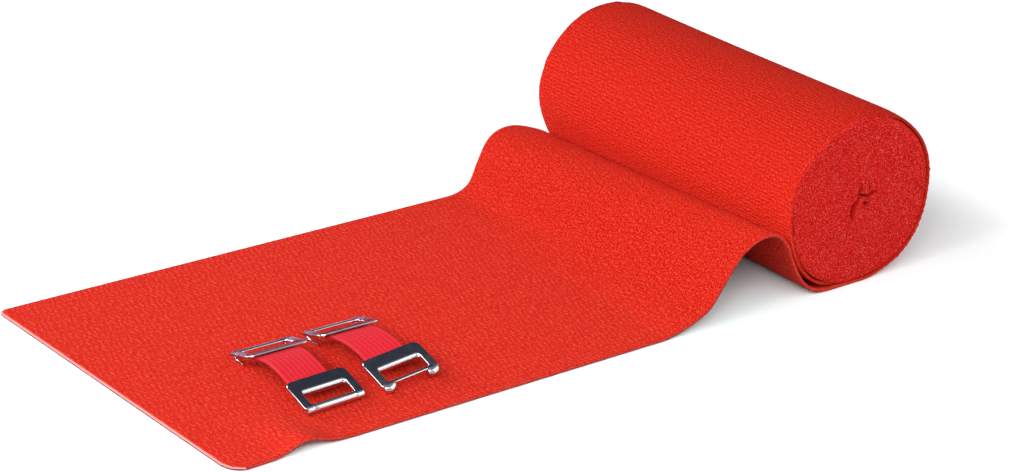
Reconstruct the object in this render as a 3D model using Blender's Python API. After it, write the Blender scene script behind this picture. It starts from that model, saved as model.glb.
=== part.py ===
# A crepe bandage, part unrolled, with its two stretch clips lying on the loose end.
# Metres, +Z up. X runs along the cloth, Y across it, and the roll's axis is parallel to Y.
# The origin is on the surface that the bandage lies on, under the roll's axis and at mid width.

import math

import bmesh
import bpy
import numpy as np
from mathutils import Matrix, Vector

MM = 0.001

# ---- the cloth ----------------------------------------------------------------------------------
CLOTH_WIDTH = 100 * MM
CLOTH_THICKNESS = 1.0 * MM
HALF_WIDTH = CLOTH_WIDTH / 2

# The cut end is a little askew: its far corner lies further out than its near corner.
CUT_END_X = -184.5 * MM
CUT_END_SKEW = 2.3 * MM
NEAR_CORNER_RADIUS = 5.2 * MM
FAR_CORNER_RADIUS = 1.5 * MM

# ---- the wound roll: radius about its axis in mm, at the near end (-Y) and at the far end (+Y) ----
# The angle turns from +X over the top, the way the cloth is wound. The last column is how far the
# rim is drawn in at the very near end.
ROLL_AXIS_Z = 23.0 * MM
ROLL_ROUND = (
    # degrees, near, far, rim drawn in
    (-90, 23.0, 23.0, 0.0),
    (-65, 23.7, 22.9, 0.0),
    (-50, 24.5, 23.3, 0.0),
    (-37, 24.8, 23.7, 0.0),
    (-23, 24.5, 23.9, 0.0),
    (-8, 24.0, 24.1, 0.0),
    (20, 23.8, 23.8, 0.1),
    (45, 23.3, 22.9, 0.5),
    (59, 23.1, 22.5, 0.6),
    (73, 22.9, 22.5, 0.9),
    (99, 22.1, 23.0, 1.1),
    (115, 21.9, 23.8, 1.0),
    (138, 22.6, 24.4, 0.3),
    (160, 23.5, 25.2, 0.0),
    (180, 23.6, 24.7, 0.0),
    (201, 23.6, 23.6, 0.0),
    (219, 24.0, 23.6, 0.0),
    (233, 24.0, 23.8, 0.0),
    (246, 23.4, 23.4, 0.0),
)
RIM_REACH = 7.0 * MM
FLAT_SPOT_END_X = 3.0 * MM

# ---- the fold beside the roll: the cloth's middle surface in mm, at the near and the far edge ----
FOLD_RISE = (
    # name, near x, near z, far x, far z
    ("foot", -62.0, 0.5, -58.0, 0.5),
    ("lift", -55.2, 1.9, -51.0, 1.0),
    ("knee", -48.0, 5.0, -47.2, 3.2),
    ("slope", -44.4, 9.4, -44.4, 8.7),
    ("shoulder", -40.3, 14.9, -41.3, 13.8),
    ("rise", -36.4, 18.3, -38.1, 15.9),
    ("crest", -30.8, 20.0, -34.2, 16.3),
    ("brow", -26.4, 18.9, -26.9, 14.1),
)
# Down to the surface the cloth keeps beside the roll, and leaves a narrow slit.
FOLD_FALL = (
    # near degrees, near gap in mm, far degrees, far gap in mm
    (199, 0.45, 207, 0.45),
    (205, 0.40, 212, 0.40),
    (212, 0.40, 217, 0.40),
    (220, 0.65, 223, 0.50),
    (229, 1.05, 230, 0.80),
    (237, 1.20, 237, 1.00),
)
SLIT_MOUTH_X = -11.6 * MM
SLIT_TIP_X = -8.2 * MM

# ---- the near edge lifts off the surface at one place by the corner ----
LIFT_X = -162.6 * MM
LIFT_HEIGHT = 2.3 * MM
LIFT_HALF_LENGTH = 5.6 * MM
LIFT_REACH = 11.0 * MM

# ---- stretch clips ----
PLATE_WIDTH = 16.3 * MM
PLATE_DEPTH = 9.4 * MM
PLATE_THICKNESS = 0.5 * MM
PLATE_CORNER = 1.8 * MM
WINDOW_WIDTH = 12.0 * MM
WINDOW_DEPTH = 4.4 * MM
WINDOW_SHIFT = 1.1 * MM
WINDOW_CORNER = 0.9 * MM
TONGUE_WIDTH = 11.4 * MM
TONGUE_LENGTH = 3.0 * MM
TONGUE_THICKNESS = 0.4 * MM
CLAW_WIDTH = 2.1 * MM
CLAW_RADIUS = 0.9 * MM
CLAW_THICKNESS = 0.5 * MM
CLAW_POINT = 2.4 * MM
CLAW_POINT_SLOPE = 18
LIP_DROP = 1.0 * MM
LIP_THICKNESS = 0.45 * MM
BAND_WIDTH = 11.0 * MM
BAND_THICKNESS = 1.0 * MM
CLEARANCE = 0.3 * MM

# Centre of each plate's upper face in mm, its turn, its slope towards the band and its roll in degrees,
# and how far the band sits off the plate's middle in mm.
CLIPS = {
    "clip_left": {
        "near": {"at": (-147.2, -33.5, 4.9), "turn": 3.0, "slope": 21.4, "roll": 0.9, "band": -1.5},
        "far": {"at": (-147.1, -8.7, 4.7), "turn": -8.5, "slope": 18.4, "roll": -0.8, "band": 0.9},
    },
    "clip_right": {
        "near": {"at": (-126.3, -32.8, 5.1), "turn": 6.0, "slope": 18.8, "roll": -3.1, "band": -0.8},
        "far": {"at": (-127.4, -8.2, 4.7), "turn": -7.4, "slope": 17.4, "roll": -1.3, "band": 0.9},
    },
}

# ---- how finely the shapes are stepped ----
STATIONS_ACROSS = (-50, -49.6, -48.6, -47, -44, -40, -35, -28, -14, 0, 14, 28, 40, 47, 49, 49.7, 50)
FLAT_STEPS = (0, 1.5, 3.5, 6, 9, 12, 15, 18, 21, 24, 27, 30, 34, 40, 52, 64, 78, 92, 106, 118)
FOLD_STEPS = 34
ROLL_STEP_DEGREES = 6.5
ARC_STEPS = 5


def material(name, colour, roughness, metallic):
    """A plain finish for one kind of piece."""
    finish = bpy.data.materials.new(name)
    finish.use_nodes = True
    shader = finish.node_tree.nodes["Principled BSDF"]
    shader.inputs["Base Color"].default_value = (*colour, 1)
    shader.inputs["Roughness"].default_value = roughness
    shader.inputs["Metallic"].default_value = metallic
    return finish


def add_object(name, mesh, finish):
    mesh.materials.append(finish)
    mesh.shade_smooth()
    mesh.set_sharp_from_angle(angle=math.radians(40))
    obj = bpy.data.objects.new(name, mesh)
    bpy.context.scene.collection.objects.link(obj)
    return obj


def mesh_of(name, points, faces):
    """A mesh from its points and faces, with its faces turned outwards."""
    mesh = bpy.data.meshes.new(name)
    mesh.from_pydata([tuple(point) for point in points], [], faces)
    work = bmesh.new()
    work.from_mesh(mesh)
    bmesh.ops.recalc_face_normals(work, faces=work.faces)
    work.to_mesh(mesh)
    work.free()
    return mesh


def smooth_curve(knots, steps):
    """Points along a smooth curve through the knots, evenly spaced along its length."""
    knots = np.asarray(knots, float)
    gaps = np.sqrt(np.linalg.norm(np.diff(knots, axis=0), axis=1))
    at = np.concatenate([[0], np.cumsum(gaps)])
    slopes = np.gradient(knots, at, axis=0)
    fine = np.linspace(0, at[-1], 20 * len(knots))
    piece = np.clip(np.searchsorted(at, fine, side="right") - 1, 0, len(knots) - 2)
    span = gaps[piece][:, None]
    t = ((fine - at[piece]) / gaps[piece])[:, None]
    curve = (
        (2 * t**3 - 3 * t**2 + 1) * knots[piece]
        + (t**3 - 2 * t**2 + t) * span * slopes[piece]
        + (3 * t**2 - 2 * t**3) * knots[piece + 1]
        + (t**3 - t**2) * span * slopes[piece + 1]
    )
    lengths = np.concatenate([[0], np.cumsum(np.linalg.norm(np.diff(curve, axis=0), axis=1))])
    even = np.linspace(0, lengths[-1], steps)
    return np.column_stack([np.interp(even, lengths, curve[:, axis]) for axis in range(curve.shape[1])])


def share_across(y):
    """0 at the near edge and 1 at the far edge."""
    return (y + HALF_WIDTH) / CLOTH_WIDTH


def between(near, far, y):
    return near + (far - near) * share_across(y)


def roll_radius(degrees, y):
    """The wound roll's radius at an angle, between the near end's and the far end's."""
    from_near_end = (y + HALF_WIDTH) / RIM_REACH
    drawn_in = max(1 - from_near_end, 0) ** 2
    knots = [(row[0], between(row[1], row[2], y) - drawn_in * row[3]) for row in ROLL_ROUND]
    curve = smooth_curve(knots, 400)
    return np.interp(degrees, curve[:, 0], curve[:, 1]) * MM


def roll_point(degrees, y, stand_off=0.0):
    radius = roll_radius(degrees, y) + stand_off
    turn = np.radians(degrees)
    return np.array([radius * np.cos(turn), ROLL_AXIS_Z + radius * np.sin(turn)])


def cut_end_x(y):
    """Where the loose end stops at this place across the cloth, with its two soft corners."""
    end = CUT_END_X - CUT_END_SKEW * y / HALF_WIDTH
    radius = NEAR_CORNER_RADIUS if y < 0 else FAR_CORNER_RADIUS
    into_corner = abs(y) - (HALF_WIDTH - radius)
    if into_corner > 0:
        end += radius - math.sqrt(radius**2 - min(into_corner, radius) ** 2)
    return end


def edge_lift(x, y):
    """How far the near edge is lifted off the surface."""
    along = math.exp(-(((x - LIFT_X) / LIFT_HALF_LENGTH) ** 2))
    inwards = math.exp(-(((y + HALF_WIDTH) / LIFT_REACH) ** 2))
    return LIFT_HEIGHT * along * inwards


def loose_end(y):
    """The cloth's middle surface from the cut end to the flat spot under the roll, as (x, z) points."""
    start = cut_end_x(y)
    foot_x = between(FOLD_RISE[0][1], FOLD_RISE[0][3], y) * MM
    share = np.array(FLAT_STEPS) / FLAT_STEPS[-1]
    flat_x = start + share[:-1] * (foot_x - start)
    flat = [(x, CLOTH_THICKNESS / 2 + edge_lift(x, y)) for x in flat_x]
    knots = [(foot_x - 4 * MM, CLOTH_THICKNESS / 2)]
    knots += [(between(row[1], row[3], y) * MM, between(row[2], row[4], y) * MM) for row in FOLD_RISE]
    for near_degrees, near_gap, far_degrees, far_gap in FOLD_FALL:
        stand_off = between(near_gap, far_gap, y) * MM + CLOTH_THICKNESS / 2
        knots.append(roll_point(between(near_degrees, far_degrees, y), y, stand_off))
    knots.append((SLIT_MOUTH_X, CLOTH_THICKNESS / 2))
    knots.append((SLIT_TIP_X, CLOTH_THICKNESS / 2))
    fold = smooth_curve(knots, FOLD_STEPS + 3)[3:]
    fold[:, 1] = np.maximum(fold[:, 1], CLOTH_THICKNESS / 2)
    return np.vstack([flat, fold])


def bandage_section(y):
    """The bandage's outline at one place across its width, as (x, z) points in order."""
    middle = loose_end(y)
    along = np.gradient(middle, axis=0)
    along /= np.linalg.norm(along, axis=1)[:, None]
    outward = np.column_stack([-along[:, 1], along[:, 0]]) * CLOTH_THICKNESS / 2
    under = middle - outward
    over = middle + outward
    under[:, 1] = np.maximum(under[:, 1], 0)
    turns = np.arange(-84, 244, ROLL_STEP_DEGREES)
    wound = [roll_point(degrees, y) for degrees in turns]
    return np.vstack([under, [(FLAT_SPOT_END_X, 0)], wound, over[::-1]])


def build_bandage(finish):
    """The whole bandage, lofted between its sections from the near edge to the far edge."""
    stations = [place * MM for place in STATIONS_ACROSS]
    sections = [bandage_section(y) for y in stations]
    count = len(sections[0])
    points = [(x, y, z) for y, section in zip(stations, sections) for x, z in section]
    faces = [
        (
            row * count + i,
            row * count + (i + 1) % count,
            (row + 1) * count + (i + 1) % count,
            (row + 1) * count + i,
        )
        for row in range(len(stations) - 1)
        for i in range(count)
    ]
    faces.append(tuple(range(count)))
    faces.append(tuple((len(stations) - 1) * count + i for i in range(count)))
    return add_object("bandage", mesh_of("bandage", points, faces), finish)


def rounded_slab(name, width, depth, corner, top, bottom, round_outer=True):
    """A flat slab with rounded corners, square at its -Y side unless that is rounded too."""
    outline = []
    for sign_x, sign_y, first in ((1, 1, 0), (-1, 1, 90), (-1, -1, 180), (1, -1, 270)):
        radius = corner if sign_y > 0 or round_outer else corner / 4
        centre_x = sign_x * (width / 2 - radius)
        centre_y = sign_y * (depth / 2 - radius)
        for step in range(ARC_STEPS):
            turn = math.radians(first + 90 * step / (ARC_STEPS - 1))
            outline.append((centre_x + radius * math.cos(turn), centre_y + radius * math.sin(turn)))
    count = len(outline)
    points = [(x, y, top) for x, y in outline] + [(x, y, bottom) for x, y in outline]
    faces = [(i, (i + 1) % count, count + (i + 1) % count, count + i) for i in range(count)]
    faces += [tuple(range(count)), tuple(range(count, 2 * count))]
    return bpy.data.objects.new(name, mesh_of(name, points, faces))


def swept_strip(name, route, normals, widths, thickness, middle_x):
    """A strip of metal bent along a route in the YZ plane, thick on the inner side of its normals."""
    points = []
    for (y, z), (normal_y, normal_z), width in zip(route, normals, widths):
        for side in (-1, 1):
            points.append((middle_x + side * width / 2, y, z))
        for side in (1, -1):
            inner_y = y - normal_y * thickness
            inner_z = z - normal_z * thickness
            points.append((middle_x + side * width / 2, inner_y, inner_z))
    rows = len(route)
    faces = [
        (4 * row + i, 4 * row + (i + 1) % 4, 4 * (row + 1) + (i + 1) % 4, 4 * (row + 1) + i)
        for row in range(rows - 1)
        for i in range(4)
    ]
    faces += [(0, 1, 2, 3), tuple(4 * (rows - 1) + i for i in range(4))]
    return bpy.data.objects.new(name, mesh_of(name, points, faces))


def tongue(name):
    """The window's own metal, folded down and back under the band that it grips."""
    fold_y = -WINDOW_SHIFT + WINDOW_DEPTH / 2
    drop = PLATE_THICKNESS + BAND_THICKNESS + 2 * CLEARANCE + TONGUE_THICKNESS
    radius = drop / 2
    route = [(fold_y + 1.2 * MM, 0), (fold_y + 0.2 * MM, 0)]
    normals = [(0, 1), (0, 1)]
    for step in range(1, 2 * ARC_STEPS):
        turn = math.pi * step / (2 * ARC_STEPS)
        normals.append((-math.sin(turn), math.cos(turn)))
        route.append((fold_y + 0.2 * MM - radius * 0.6 * math.sin(turn), -radius + radius * math.cos(turn)))
    route += [(fold_y + 0.2 * MM, -drop), (fold_y + TONGUE_LENGTH, -drop)]
    normals += [(0, -1), (0, -1)]
    return swept_strip(name, route, normals, [TONGUE_WIDTH] * len(route), TONGUE_THICKNESS, 0)


def claw(name, side):
    """One claw: a tab of the plate's outer edge bent down and under, ending in a point."""
    edge_y = -PLATE_DEPTH / 2
    middle_x = side * (PLATE_WIDTH - CLAW_WIDTH) / 2
    route = [(edge_y + 1.2 * MM, 0), (edge_y + 0.2 * MM, 0)]
    normals = [(0, 1), (0, 1)]
    for step in range(1, 2 * ARC_STEPS - 1):
        turn = math.radians(180 - CLAW_POINT_SLOPE) * step / (2 * ARC_STEPS - 2)
        normals.append((-math.sin(turn), math.cos(turn)))
        route.append((edge_y - CLAW_RADIUS * math.sin(turn), -CLAW_RADIUS + CLAW_RADIUS * math.cos(turn)))
    last_y, last_z = route[-1]
    slope = math.radians(CLAW_POINT_SLOPE)
    route.append((last_y + CLAW_POINT * math.cos(slope), last_z - CLAW_POINT * math.sin(slope)))
    normals.append(normals[-1])
    widths = [CLAW_WIDTH] * (len(route) - 1) + [CLAW_WIDTH / 4]
    return swept_strip(name, route, normals, widths, CLAW_THICKNESS, middle_x)


def lip(name):
    """The plate's outer edge, turned down between its claws."""
    edge_y = -PLATE_DEPTH / 2 + 0.03 * MM
    route = [(edge_y, -0.1 * MM), (edge_y, -LIP_DROP)]
    width = PLATE_WIDTH - 2 * CLAW_WIDTH + 0.4 * MM
    return swept_strip(name, route, [(-1, 0), (-1, 0)], [width, width], LIP_THICKNESS, 0)


def plate_matrix(pose, outer_side):
    """The plate's own frame: X along its width, -Y to its outer edge and Z out of its upper face."""
    facing = 0 if outer_side < 0 else 180
    turn = Matrix.Rotation(math.radians(pose["turn"] + facing), 4, "Z")
    slope = Matrix.Rotation(math.radians(pose["slope"]), 4, "X")
    roll = Matrix.Rotation(math.radians(pose["roll"] * -outer_side), 4, "Y")
    return Matrix.Translation(Vector(pose["at"]) * MM) @ turn @ slope @ roll


def build_plate(name, matrix, finish):
    """A stamped plate: windowed, with its folded tongue, its lip and its claws, joined into one solid."""
    plate = rounded_slab(name, PLATE_WIDTH, PLATE_DEPTH, PLATE_CORNER, 0, -PLATE_THICKNESS, False)
    cutter = rounded_slab(name + "_window", WINDOW_WIDTH, WINDOW_DEPTH, WINDOW_CORNER, MM, -2 * MM)
    for vertex in cutter.data.vertices:
        vertex.co.y -= WINDOW_SHIFT
    steps = [("DIFFERENCE", cutter), ("UNION", tongue(name + "_tongue")), ("UNION", lip(name + "_lip"))]
    steps += [("UNION", claw(name + "_claw", side)) for side in (-1, 1)]
    scene = bpy.context.scene.collection
    scene.objects.link(plate)
    for number, (operation, other) in enumerate(steps):
        scene.objects.link(other)
        other.hide_render = True
        other.display_type = "WIRE"
        joined = plate.modifiers.new(f"step {number}", "BOOLEAN")
        joined.operation = operation
        joined.object = other
        other.parent = plate
    plate.data.materials.append(finish)
    plate.matrix_world = matrix
    return plate


def band_corner(matrix, x, y):
    """A point of the band's upper face inside a plate's grip, and the way it leaves the plate."""
    depth = -PLATE_THICKNESS - CLEARANCE
    return matrix @ Vector((x, y, depth)), (matrix.to_3x3() @ Vector((0, 1, 0))).normalized()


def build_band(name, near, far, near_shift, far_shift, finish):
    """The elastic band, arching from one plate's grip to the other's."""
    grip_start = -WINDOW_SHIFT + WINDOW_DEPTH / 2 + 0.9 * MM
    grip_end = PLATE_DEPTH / 2
    edges = []
    for side in (-1, 1):
        near_x = near_shift + side * BAND_WIDTH / 2
        far_x = -far_shift - side * BAND_WIDTH / 2
        start, _ = band_corner(near, near_x, grip_start)
        leave, near_way = band_corner(near, near_x, grip_end)
        arrive, far_way = band_corner(far, far_x, grip_end)
        end, _ = band_corner(far, far_x, grip_start)
        reach = (arrive - leave).length
        edge = [start, leave]
        for step in range(1, 2 * ARC_STEPS):
            t = step / (2 * ARC_STEPS)
            edge.append(
                (2 * t**3 - 3 * t**2 + 1) * leave
                + (t**3 - 2 * t**2 + t) * reach * near_way
                + (3 * t**2 - 2 * t**3) * arrive
                - (t**3 - t**2) * reach * far_way
            )
        edges.append(edge + [arrive, end])
    left, right = edges
    points = []
    for i, (a, b) in enumerate(zip(left, right)):
        before, after = max(i - 1, 0), min(i + 1, len(left) - 1)
        along = (left[after] + right[after] - left[before] - right[before]).normalized()
        down = along.cross(b - a).normalized() * BAND_THICKNESS
        points += [a, b, b + down, a + down]
    rows = len(left)
    faces = [
        (4 * row + i, 4 * row + (i + 1) % 4, 4 * (row + 1) + (i + 1) % 4, 4 * (row + 1) + i)
        for row in range(rows - 1)
        for i in range(4)
    ]
    faces += [(0, 1, 2, 3), tuple(4 * (rows - 1) + i for i in range(4))]
    return add_object(name, mesh_of(name, points, faces), finish)


def main():
    for obj in list(bpy.data.objects):
        bpy.data.objects.remove(obj, do_unlink=True)
    crepe = material("crepe_cloth", (0.79, 0.035, 0.02), 0.9, 0.0)
    plated_steel = material("plated_steel", (0.8, 0.8, 0.82), 0.12, 1.0)
    elastic = material("ribbed_elastic", (0.75, 0.04, 0.06), 0.7, 0.0)
    build_bandage(crepe)
    for name, ends in CLIPS.items():
        near = plate_matrix(ends["near"], -1)
        far = plate_matrix(ends["far"], 1)
        build_plate(name + "_near_plate", near, plated_steel)
        build_plate(name + "_far_plate", far, plated_steel)
        near_shift, far_shift = ends["near"]["band"] * MM, ends["far"]["band"] * MM
        build_band(name + "_band", near, far, near_shift, far_shift, elastic)


main()
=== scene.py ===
# The crepe bandage as it looks: wound cloth, loose end, wound ends, two stretch clips, camera and studio.
import math

import bmesh
import bpy
import numpy as np
from mathutils import Matrix, Vector, noise


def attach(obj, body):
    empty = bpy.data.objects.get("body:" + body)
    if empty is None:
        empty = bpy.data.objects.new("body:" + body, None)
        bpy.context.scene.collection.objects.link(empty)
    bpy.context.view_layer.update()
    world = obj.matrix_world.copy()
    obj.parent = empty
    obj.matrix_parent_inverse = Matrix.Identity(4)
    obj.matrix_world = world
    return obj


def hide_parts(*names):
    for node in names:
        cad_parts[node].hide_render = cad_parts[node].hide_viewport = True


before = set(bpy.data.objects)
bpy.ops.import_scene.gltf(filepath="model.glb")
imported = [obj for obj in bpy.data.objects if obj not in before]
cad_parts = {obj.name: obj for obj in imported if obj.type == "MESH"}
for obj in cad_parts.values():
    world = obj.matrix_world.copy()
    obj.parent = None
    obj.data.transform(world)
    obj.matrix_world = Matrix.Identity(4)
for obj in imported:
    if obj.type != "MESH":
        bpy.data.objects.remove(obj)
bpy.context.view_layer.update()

mm = 0.001
halfCloth = 50.0  # mm, half of the cloth's width


def addObject(name, data):
    made = bpy.data.objects.new(name, data)
    bpy.context.scene.collection.objects.link(made)
    return made


def feed(tree, node, inputs):
    for key, value in inputs.items():
        if hasattr(value, "is_output"):
            tree.links.new(value, node.inputs[key])
        else:
            node.inputs[key].default_value = value


def newMaterial(name, colour, roughness, metallic=0.0):
    made = bpy.data.materials.new(name)
    made.use_nodes = True
    made.diffuse_color = (*colour, 1)
    tree = made.node_tree
    shader = tree.nodes["Principled BSDF"]
    feed(tree, shader, {"Base Color": (*colour, 1), "Roughness": roughness, "Metallic": metallic})
    return made, tree, shader


def addNode(tree, kind, inputs=None, **settings):
    made = tree.nodes.new(kind)
    for key, value in settings.items():
        setattr(made, key, value)
    feed(tree, made, inputs or {})
    return made


def mathNode(tree, operation, a, b=0.0, c=0.0):
    return addNode(tree, "ShaderNodeMath", {0: a, 1: b, 2: c}, operation=operation).outputs[0]


def blendColours(tree, share, a, b):
    a, b = (value if hasattr(value, "is_output") else (*value, 1) for value in (a, b))
    return addNode(tree, "ShaderNodeMix", {0: share, 6: a, 7: b}, data_type="RGBA").outputs[2]


def noiseNode(tree, vector, scale, detail=2.0, roughness=0.55):
    settings = {"Vector": vector, "Scale": scale, "Detail": detail, "Roughness": roughness}
    return addNode(tree, "ShaderNodeTexNoise", settings).outputs["Fac"]


def remap(tree, value, low, high, newLow=0.0, newHigh=1.0):
    settings = {"Value": value, "From Min": low, "From Max": high, "To Min": newLow, "To Max": newHigh}
    return addNode(tree, "ShaderNodeMapRange", settings).outputs["Result"]


def lumpNode(tree, vector, scale):
    settings = {"Vector": vector, "Scale": scale}
    return addNode(tree, "ShaderNodeTexVoronoi", settings, feature="SMOOTH_F1").outputs["Distance"]


def objectPlace(tree):
    return addNode(tree, "ShaderNodeTexCoord").outputs["Object"]


def movedPlace(tree, place, shift=(0, 0, 0), scale=(1, 1, 1)):
    return addNode(tree, "ShaderNodeMapping", {"Vector": place, "Location": shift, "Scale": scale}).outputs[0]


def attributeNode(tree, name):
    return addNode(tree, "ShaderNodeAttribute", attribute_name=name).outputs["Fac"]


def bumpNode(tree, shader, height, depth, strength=1.0):
    settings = {"Strength": strength, "Distance": depth, "Height": height}
    feed(tree, shader, {"Normal": addNode(tree, "ShaderNodeBump", settings).outputs["Normal"]})


def clothSurface(tree, shader, values):
    feed(tree, shader, {
        "Sheen Weight": values["sheen"],
        "Sheen Roughness": 0.5,
        "Sheen Tint": (*values["sheenTint"], 1),
        "Specular IOR Level": values["specular"],
    })


crepeLook = {
    # the weave's colour by its height: partly its own tone, partly painted shade in its hollows and painted
    # highlight on its tips
    "deepRed": (0.398, 0.0010, 0.0003),
    "brightRed": (0.560, 0.037, 0.0190),
    "tipHighlightRed": (0.585, 0.063, 0.037),  # the tips of the weave, with a painted highlight
    "woundDeepRed": (0.350, 0.0002, 0.0001),
    "woundBrightRed": (0.445, 0.019, 0.0060),
    "woundTipHighlightRed": (0.495, 0.044, 0.029),
    "crispRed": (0.572, 0.0235, 0.0080),  # where the cloth bends and its weave stands out
    "paleEdge": (0.62, 0.30, 0.28),
    "roughness": 0.88,
    "sheen": 0.03,
    "sheenTint": (1, 0.25, 0.18),
    "specular": 0.05,
    "dashLength": 2.44,  # mm, half a dash period across the cloth
    "looseRibs": 1.38,  # ribs in a mm of the loose end
    "woundRibs": 1.04,  # and on the roll, where the cloth is stretched
    "wander": (2.4, 6.0),  # how far the weave wanders along the cloth, in ribs, and across it, in mm
    "wanderScale": (0.42, 0.40),
    "calmed": 0.18,  # share of that on the roll
    "ribWave": (0.36, 0.62),  # each wave of the weave, on the loose end and on the roll
    "twillWave": (0.50, 0.15),
    "counterWave": (0.42, 0.10),
    "dashWave": (0.36, 0.08),
    "weaveHeight": 0.30,
    "grainNoise": (2.1, 2.0, 0.6),  # scale, detail and roughness, as in the other noises
    "grainHeight": 1.7,
    "fluffNoise": (2.5, 1.0, 0.5),
    "fluffHeight": (0.8, 4.8),  # where the cloth lies flat, and where its weave stands out
    "patchNoise": (0.16, 2.0, 0.5),
    "patchStrength": (0.6, 1.15),
    "hemNoise": (2900, 2.0, 0.6),
    "hemHeight": (3.0, 2.4, 0.4),  # of its fibres, of the lumps between, and how low it all lies
    "bumpShare": (0.72, 1.0),  # on the loose end and on the roll, as are the next three
    "deepFrom": (-0.48, -0.62),
    "brightFrom": (0.46, 0.62),
    "tipsFull": (1.6, 0.86),
    "tipsFrom": 0.06,
    "reliefDepth": 0.00013,  # m
    # painted shade up the fold and painted light over its crest
    "foldShading": (  # by the share of the way over the fold
        (0, 1), (0.08, 0.97), (0.2, 0.88), (0.42, 0.87), (0.51, 1.02), (0.6, 1.18), (0.7, 1.16), (1, 1),
    ),
    # painted light on the roll's lower side beside the fold, and a little painted shade over its top
    "turnShading": (  # by degrees round the roll
        (-84, 1), (60, 0.97), (130, 0.96), (160, 1), (180, 1.10), (198, 1.32), (212, 1.32), (240, 1),
    ),
    "underShade": 0.64,  # painted shade on the under side
    # painted shade along the selvedge beads, up to the roll
    "hemShade": 0.72,
    "foldCrisp": ((0, 0), (0.1, 0.5), (0.25, 1), (0.8, 1), (1, 0.5)),
    "rollCrisp": 0.42,
}


def crepeMaterial(values):
    made, tree, shader = newMaterial("crepeCloth", values["brightRed"], values["roughness"])
    clothSurface(tree, shader, values)
    place = addNode(tree, "ShaderNodeUVMap", uv_map="clothMap").outputs["UV"]
    tension, slant, pale, crisp, hem, paintedShading = (
        attributeNode(tree, name) for name in ("tension", "slant", "paleEdge", "crisp", "hem", "paintedShading")
    )

    def maths(operation, a, b=0.0, c=0.0):
        return mathNode(tree, operation, a, b, c)

    def byTension(key):
        return remap(tree, tension, 0, 1, *values[key])

    # the threads wander slowly, less where the cloth is wound under tension
    even = movedPlace(tree, place, scale=(1 / values["looseRibs"], 1, 1))
    apart = movedPlace(tree, even, shift=(37, 91, 0))
    parts = addNode(tree, "ShaderNodeSeparateXYZ", {"Vector": place})
    calm = remap(tree, tension, 0, 1, 1.0, values["calmed"])

    def wandered(where, axis):
        drift = maths("SUBTRACT", noiseNode(tree, where, values["wanderScale"][axis], 1.0), 0.5)
        drift = maths("MULTIPLY", drift, values["wander"][axis])
        return maths("MULTIPLY_ADD", drift, calm, parts.outputs[axis])

    u, v = wandered(even, 0), wandered(apart, 1)

    # ribs across the cloth, dashes along them and the slanted lines between
    turn = 2 * math.pi
    halfU = maths("MULTIPLY", u, turn / 2)
    dashV = maths("MULTIPLY", v, turn / values["dashLength"] / 2)
    slantV = maths("MULTIPLY", dashV, maths("MULTIPLY_ADD", slant, 2.0, -1.0))
    waves = (
        ("ribWave", maths("MULTIPLY", u, turn)),
        ("twillWave", maths("ADD", halfU, slantV)),
        ("counterWave", maths("SUBTRACT", halfU, slantV)),
        ("dashWave", maths("MULTIPLY", dashV, 2.0)),
    )
    weave = 0.0
    for key, wave in waves:
        weave = maths("MULTIPLY_ADD", maths("COSINE", wave), byTension(key), weave)

    # uneven strength, grain and fluff
    grain = noiseNode(tree, even, *values["grainNoise"])
    fluff = noiseNode(tree, apart, *values["fluffNoise"])
    patches = noiseNode(tree, even, *values["patchNoise"])
    strength = remap(tree, patches, 0.3, 0.7, *values["patchStrength"])
    relief = maths("MULTIPLY", weave, maths("MULTIPLY", strength, values["weaveHeight"]))
    relief = maths("ADD", relief, maths("MULTIPLY", maths("SUBTRACT", grain, 0.5), values["grainHeight"]))
    fluffy = remap(tree, crisp, 0, 1, *values["fluffHeight"])
    relief = maths("MULTIPLY_ADD", maths("SUBTRACT", fluff, 0.5), fluffy, relief)

    # the loops of the hem
    body = objectPlace(tree)
    lumps = lumpNode(tree, body, 1 / endLook["lumpSize"])
    fibres = noiseNode(tree, body, *values["hemNoise"])
    fibreHigh, lumpHigh, low = values["hemHeight"]
    lumps = maths("MULTIPLY_ADD", lumps, lumpHigh, low)
    loops = maths("SUBTRACT", maths("MULTIPLY", fibres, fibreHigh), lumps)
    relief = maths("MULTIPLY_ADD", maths("SUBTRACT", loops, relief), hem, relief)
    bumpNode(tree, shader, maths("MULTIPLY", relief, byTension("bumpShare")), values["reliefDepth"])

    # darker in the weave's hollows and lighter on its tips: partly its own tone, partly painted shade and
    # painted highlight
    deep = blendColours(tree, tension, values["deepRed"], values["woundDeepRed"])
    bright = blendColours(tree, crisp, values["brightRed"], values["crispRed"])
    bright = blendColours(tree, tension, bright, values["woundBrightRed"])
    tipHighlight = blendColours(tree, tension, values["tipHighlightRed"], values["woundTipHighlightRed"])
    share = remap(tree, relief, byTension("deepFrom"), byTension("brightFrom"))
    colour = blendColours(tree, share, deep, bright)
    share = remap(tree, relief, values["tipsFrom"], byTension("tipsFull"))
    colour = blendColours(tree, share, colour, tipHighlight)
    colour = blendColours(tree, pale, colour, values["paleEdge"])
    # the painted light and shade scale the colour
    shadedColour = addNode(tree, "ShaderNodeVectorMath", {0: colour, "Scale": paintedShading}, operation="SCALE")
    feed(tree, shader, {"Base Color": shadedColour.outputs["Vector"]})
    return made


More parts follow.
